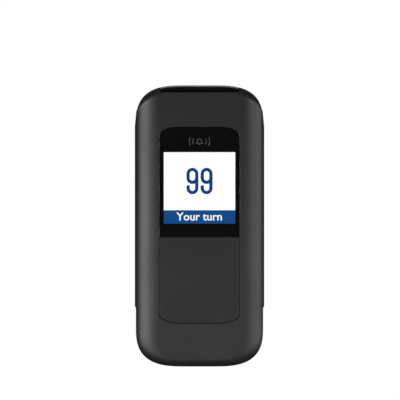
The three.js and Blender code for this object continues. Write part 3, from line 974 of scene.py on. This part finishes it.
def use(tree, group, inputs):
    made = tree.nodes.new("ShaderNodeGroup")
    made.node_tree = group
    for socket, value in inputs.items():
        if isinstance(value, bpy.types.NodeSocket):
            tree.links.new(value, made.inputs[socket])
        else:
            made.inputs[socket].default_value = value
    return made.outputs


def mixed(tree, amount, first, second):
    """A colour between two, by an amount from 0 to 1."""
    mix = tree.nodes.new("ShaderNodeMix")
    mix.data_type = "RGBA"
    tree.links.new(amount, mix.inputs["Factor"])
    for socket, value in (("A", first), ("B", second)):
        found = [s for s in mix.inputs if s.name == socket and s.type == "RGBA"][0]
        if isinstance(value, bpy.types.NodeSocket):
            tree.links.new(value, found)
        else:
            found.default_value = (*value, 1)
    return [s for s in mix.outputs if s.type == "RGBA"][0]


def bump(tree, height, distance, strength=1.0):
    return add(
        tree, "ShaderNodeBump", {"Height": height, "Distance": distance, "Strength": strength},
    ).outputs["Normal"]


def shade(colour, factor):
    return tuple(channel * factor for channel in colour)


def moulded(name, colour, roughness, grain, depth, worn=0.3, sheen=1.5, even=0.12):
    """A moulded plastic or rubber: grain, a slow drift of tone, and rubbed edges."""
    material, tree, shader, place = blank(name)
    texture = use(tree, GRAIN, {"Position": place, "Size": grain})
    drift = use(tree, DRIFT, {"Position": place, "Size": 0.018})["Drift"]
    rubbed = use(tree, WEAR, {"Position": place, "Radius": 0.25 * MM})["Mask"]
    plain = mixed(tree, drift, shade(colour, 1 - even), shade(colour, 1 + even))
    fleck = math_node(tree, "MULTIPLY", texture["Fleck"], 0.25)
    flecked = mixed(tree, fleck, plain, shade(colour, 1.5))
    wear = math_node(tree, "MULTIPLY", rubbed, worn)
    edged = mixed(tree, wear, flecked, shade(colour, 2.2))
    tree.links.new(edged, shader.inputs["Base Color"])
    soft = spread(tree, drift, 0.0, 1.0, roughness + 0.03, roughness - 0.03)
    shine = math_node(tree, "SUBTRACT", soft, math_node(tree, "MULTIPLY", rubbed, 0.12))
    tree.links.new(shine, shader.inputs["Roughness"])
    tree.links.new(bump(tree, texture["Height"], depth), shader.inputs["Normal"])
    shader.inputs["IOR"].default_value = sheen
    return material


def polished(name, colour, roughness):
    """A glossy moulding with faint wiping marks."""
    material, tree, shader, place = blank(name)
    drift = use(tree, DRIFT, {"Position": place, "Size": 0.009})["Drift"]
    wiped = use(tree, LINES, {"Position": place, "Size": 0.0002, "Length": 40.0})["Height"]
    tree.links.new(mixed(tree, drift, colour, shade(colour, 1.25)), shader.inputs["Base Color"])
    marks = math_node(tree, "MULTIPLY", drift, spread(tree, wiped, 0.4, 0.7, 0.3, 1.0))
    dulled = spread(tree, marks, 0.0, 1.0, roughness, roughness + 0.06)
    tree.links.new(dulled, shader.inputs["Roughness"])
    return material


def metal(name, colour, roughness, size=0.00006, length=30.0, depth=0.002 * MM):
    """A plated or drawn metal with fine lines in it and a slow change of tone."""
    material, tree, shader, place = blank(name)
    drift = use(tree, DRIFT, {"Position": place, "Size": 0.004})["Drift"]
    lines = use(tree, LINES, {"Position": place, "Size": size, "Length": length})["Height"]
    tree.links.new(mixed(tree, drift, colour, shade(colour, 0.8)), shader.inputs["Base Color"])
    marks = math_node(tree, "ADD", lines, drift)
    dulled = spread(tree, marks, 0.3, 1.5, roughness - 0.06, roughness + 0.1)
    tree.links.new(dulled, shader.inputs["Roughness"])
    tree.links.new(bump(tree, lines, depth), shader.inputs["Normal"])
    shader.inputs["Metallic"].default_value = 1.0
    return material


def milky(name, colour, painted_glow):
    """Translucent milky plastic, with a faint emission that is painted glow standing in for light
    falling on it.
    """
    material, tree, shader, place = blank(name)
    drift = use(tree, DRIFT, {"Position": place, "Size": 0.006})["Drift"]
    texture = use(tree, GRAIN, {"Position": place, "Size": 0.00018})
    tone = mixed(tree, drift, colour, shade(colour, 0.92))
    tree.links.new(tone, shader.inputs["Base Color"])
    tree.links.new(mixed(tree, drift, painted_glow, shade(painted_glow, 0.92)), shader.inputs["Emission Color"])
    tree.links.new(spread(tree, texture["Fleck"], 0.0, 1.0, 0.3, 0.42), shader.inputs["Roughness"])
    tree.links.new(bump(tree, texture["Height"], 0.002 * MM), shader.inputs["Normal"])
    # Painted glow: no lit lamp is in the bar, and this emission stands in for light falling on it.
    shader.inputs["Emission Strength"].default_value = 0.14
    shader.inputs["Subsurface Weight"].default_value = 0.6
    shader.inputs["Subsurface Radius"].default_value = (1.2 * MM, 1.3 * MM, 1.4 * MM)
    shader.inputs["Subsurface Scale"].default_value = 1.0
    return material


def clear_acrylic(name):
    """The clear plastic of the pane, with faint patches where it has been wiped."""
    material, tree, shader, place = blank(name)
    drift = use(tree, DRIFT, {"Position": place, "Size": 0.008})["Drift"]
    shader.inputs["Base Color"].default_value = (1, 1, 1, 1)
    shader.inputs["Transmission Weight"].default_value = 1.0
    shader.inputs["IOR"].default_value = 1.49
    tree.links.new(spread(tree, drift, 0.0, 1.0, 0.0, 0.012), shader.inputs["Roughness"])
    return material


def lit_layer(name, colour, strength):
    """A lit part of the picture, with the fine grid of the panel's dots."""
    material, tree, shader, place = blank(name)
    dots = add(
        tree, "ShaderNodeTexVoronoi", {"Vector": place, "Scale": 1 / (0.1155 * MM)},
        feature="F1", distance="CHEBYCHEV",
    )
    dots.inputs["Randomness"].default_value = 0.0
    grid = spread(tree, dots.outputs["Distance"], 0.4, 0.5, 0.0, 1.0)
    tone = mixed(tree, grid, colour, shade(colour, 0.94))
    tree.links.new(tone, shader.inputs["Emission Color"])
    shader.inputs["Base Color"].default_value = (0.002, 0.002, 0.002, 1)
    shader.inputs["Emission Strength"].default_value = strength
    shader.inputs["Specular IOR Level"].default_value = 0
    return material


def printed(name, colour, roughness):
    """Flat ink, which takes no shine of its own under the pane."""
    material, tree, shader, place = blank(name)
    texture = use(tree, GRAIN, {"Position": place, "Size": 0.00008})
    tone = mixed(tree, texture["Fleck"], colour, shade(colour, 1.15))
    tree.links.new(tone, shader.inputs["Base Color"])
    shader.inputs["Roughness"].default_value = roughness
    shader.inputs["Specular IOR Level"].default_value = 0
    return material


def laminate(name, colour):
    """Green solder mask over copper tracks."""
    material, tree, shader, place = blank(name)
    tracks = add(
        tree, "ShaderNodeTexVoronoi", {"Vector": place, "Scale": 420.0}, distance="MANHATTAN",
        feature="F1",
    ).outputs["Distance"]
    copper = spread(tree, tracks, 0.42, 0.5, 0.0, 1.0)
    drift = use(tree, DRIFT, {"Position": place, "Size": 0.012})["Drift"]
    mask = mixed(tree, drift, colour, shade(colour, 0.85))
    tree.links.new(mixed(tree, copper, mask, shade(colour, 1.9)), shader.inputs["Base Color"])
    tree.links.new(bump(tree, copper, 0.02 * MM), shader.inputs["Normal"])
    shader.inputs["Roughness"].default_value = 0.35
    return material


def make_finishes():
    """One material for each slot of the record."""
    materials = frame["record"]["materials"]
    slots = {entry["slot"]: tuple(entry["base_color"][:3]) for entry in materials}

    def plastic(slot, roughness, grain, depth, **more):
        return moulded(slot, slots[slot], roughness, grain * MM, depth * MM, **more)

    return {
        "casing": plastic("casing", 0.45, 0.42, 0.04, worn=0.12),
        "key_plastic": plastic("key_plastic", 0.48, 0.2, 0.004, sheen=1.42),
        "gloss_black": polished("gloss_black", slots["gloss_black"], 0.05),
        # The diffuser's last colour is a painted glow, given off though no lamp lights it.
        "diffuser": milky("diffuser", slots["diffuser"], (0.42, 0.48, 0.56)),
        "seal_rubber": plastic("seal_rubber", 0.75, 0.15, 0.006, worn=0.1),
        "screw_steel": metal("screw_steel", slots["screw_steel"], 0.35),
        "contact_gold": metal("contact_gold", slots["contact_gold"], 0.22, depth=0.001 * MM),
        "spring_steel": metal("spring_steel", slots["spring_steel"], 0.25),
        "label_film": plastic("label_film", 0.4, 0.12, 0.002, worn=0.0, even=0.03),
        "adhesive": plastic("adhesive", 0.7, 0.3, 0.01, worn=0.0),
        "foam": plastic("foam", 0.95, 0.25, 0.05, worn=0.0),
        "lcd_glass": polished("lcd_glass", (0.02, 0.022, 0.025), 0.05),
        "white_plastic": plastic("white_plastic", 0.45, 0.2, 0.003, worn=0.1, even=0.04),
        "black_plastic": plastic("black_plastic", 0.5, 0.15, 0.004),
        "flex_film": polished("flex_film", slots["flex_film"], 0.25),
        "board_laminate": laminate("board_laminate", slots["board_laminate"]),
        "tinned_steel": metal("tinned_steel", slots["tinned_steel"], 0.3),
        "weight_metal": metal("weight_metal", slots["weight_metal"], 0.45, length=1.0),
        "cell_wrap": polished("cell_wrap", slots["cell_wrap"], 0.3),
        "wire_red": plastic("wire_red", 0.55, 0.2, 0.003, worn=0.0),
        "wire_black": plastic("wire_black", 0.55, 0.2, 0.003, worn=0.0),
    }


FINISHES = make_finishes()


# ---- assembly ----------------------------------------------------------------------------------

def fit(piece, material, body, slot, *stands_for):
    """Gives a finished piece its material and its body, and hides the nodes that it stands for. The
    slot is not used.
    """
    piece.data.materials.clear()
    piece.data.materials.append(material)
    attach(piece, body)
    if stands_for:
        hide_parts(*stands_for)


def fit_slot(piece, slot, body, *stands_for):
    smooth(piece)
    fit(piece, FINISHES[slot], body, slot, *stands_for)


outside = envelope("outside", OUTSIDE, FRONT, BACK)
for side, blend in ((-1, LOW_BLEND), (1, HIGH_BLEND)):
    keep(outside, end_blend(side, blend))
inside = envelope("inside", INSIDE, FRONT + WALL, BACK - WALL)
fit_slot(front_shell(outside, inside), "casing", "case", "front_casing")
fit_slot(rear_shell(outside, inside), "casing", "case", "rear_casing")
fit_slot(gloss_trim(outside), "gloss_black", "case", "top_trim")
fit_slot(milky_bar(outside), "diffuser", "case", "light_bar")
bpy.data.objects.remove(outside)
bpy.data.objects.remove(inside)
fit_slot(seal_ring(), "seal_rubber", "case", "case_seal")
fit_slot(press_key_cap(), "key_plastic", "key", "press_key")
fit_slot(label(), "label_film", "case", "label_plate")

pane = window_pane()
smooth(pane)
fit(pane, clear_acrylic("clear_acrylic"), "case", "gloss_black", "display_window")
fit(window_print(), printed("window_ink", (0.0022, 0.0022, 0.0023), 0.6), "case", "gloss_black")
fit(bell_sign(), printed("sign_ink", (0.24, 0.24, 0.24), 0.5), "case", "gloss_black")

picture_low = DISPLAY_MIDDLE - DISPLAY_HALF
picture_high = DISPLAY_MIDDLE + DISPLAY_HALF
bar_top = picture_low + BAR_HEIGHT
white_light = lit_layer("white_light", (1.0, 1.0, 1.0), 1.15)
bar_light = lit_layer("bar_light", (0.004, 0.068, 0.255), 1.05)
digit_light = lit_layer("digit_light", (0.002, 0.05, 0.22), 1.05)
letter_light = lit_layer("letter_light", (0.92, 0.93, 0.94), 1.05)
fit(picture_plate("picture_white", bar_top, picture_high, 1), white_light, "case", "lcd_glass")
fit(picture_plate("picture_bar", picture_low, bar_top, 1), bar_light, "case", "lcd_glass")
upper_face = PICTURE_FACE - 2 * LAYER
for digit_name, x in (("digit_left", -DIGIT_X), ("digit_right", DIGIT_X)):
    fit(nine(digit_name, x, upper_face), digit_light, "case", "lcd_glass")
caption_place = (0, picture_low + BAR_HEIGHT / 2)
caption = words("caption", "Your turn", 4.35 * MM, caption_place, upper_face)
fit(caption, letter_light, "case", "lcd_glass")

screw_seat = screw_high.y - 1.6 * MM
screws = place_copies(
    cross_screw(),
    [f"cross_screw_{i + 1}" for i in range(4)],
    [(x, screw_seat, z) for x, z in screw_places()],
)
for i, screw in enumerate(screws):
    fit_slot(screw, "screw_steel", "case", f"case_screw_{i + 1}")
contacts = place_copies(
    charge_contact(),
    ["domed_contact_left", "domed_contact_right"],
    [(side * CONTACT_X, CONTACT_Y, 0) for side in (-1, 1)],
)
for side, contact in zip(("left", "right"), contacts):
    fit_slot(contact, "contact_gold", "case", f"charge_contact_{side}")

slot_of = {entry["node"]: entry["material_slot"] for entry in frame["record"]["subparts"]}
for name, node in frame["nodes"].items():
    for slot in node.material_slots:
        slot.material = FINISHES[slot_of[name]]


# ---- studio ------------------------------------------------------------------------------------

def soft_light(name, place, aim, size, power):
    """A rectangular soft light of (width, height), turned towards a point."""
    lamp = bpy.data.lights.new(name, "AREA")
    lamp.shape = "RECTANGLE"
    lamp.size, lamp.size_y = size
    lamp.energy = power
    light = bpy.data.objects.new(name, lamp)
    bpy.context.scene.collection.objects.link(light)
    light.location = place
    light.visible_camera = False
    light.rotation_euler = (Vector(aim) - Vector(place)).to_track_quat("-Z", "Y").to_euler()
    return light


def around(turn, distance, height):
    """A place round the pager, by degrees from straight in front towards +X."""
    angle = math.radians(turn)
    return (distance * math.sin(angle), -distance * math.cos(angle), height)


def make_studio():
    aim = (0, 0, HEIGHT / 2)
    key = soft_light("key_light", around(-60, 0.7, 0.06), aim, (0.7, 0.62), 5.8)
    side = soft_light("side_light", around(72, 0.7, 0.04), aim, (1.1, 0.62), 4.2)
    for light in (key, side):
        light.visible_diffuse = False
    front = soft_light("front_fill", around(0, 0.15, 0.02), (0, 0, 0.03), (0.12, 0.03), 0.122)
    back = soft_light("back_fill", around(165, 0.8, 0.3), aim, (0.5, 0.4), 4)
    top = soft_light("top_fill", around(180, 0.1, 0.6), aim, (0.5, 0.4), 0.6)
    for light in (front, back, top):
        light.visible_glossy = False
        light.visible_transmission = False

    world = bpy.data.worlds.new("studio")
    world.use_nodes = True
    bpy.context.scene.world = world
    tree = world.node_tree
    seen = add(tree, "ShaderNodeLightPath").outputs["Is Camera Ray"]
    level = spread(tree, seen, 0.0, 1.0, 0.045, 1.0)
    tree.links.new(level, tree.nodes["Background"].inputs["Strength"])
    tree.nodes["Background"].inputs["Color"].default_value = (1, 1, 1, 1)


def make_camera():
    """Level, straight in front and far off, as for a catalogue."""
    distance = 4
    side, height = 0.19 * MM, 64.3 * MM
    seen_width = 154.2 * MM
    data = bpy.data.cameras.new("camera")
    data.sensor_width = 36
    data.lens = 36 * (distance + casing_low.y) / seen_width
    camera = bpy.data.objects.new("camera", data)
    bpy.context.scene.collection.objects.link(camera)
    camera.location = (side, -distance, height)
    camera.rotation_euler = (math.pi / 2, 0, 0)
    bpy.context.scene.camera = camera


make_studio()
make_camera()
bpy.context.scene.view_settings.view_transform = "Standard"
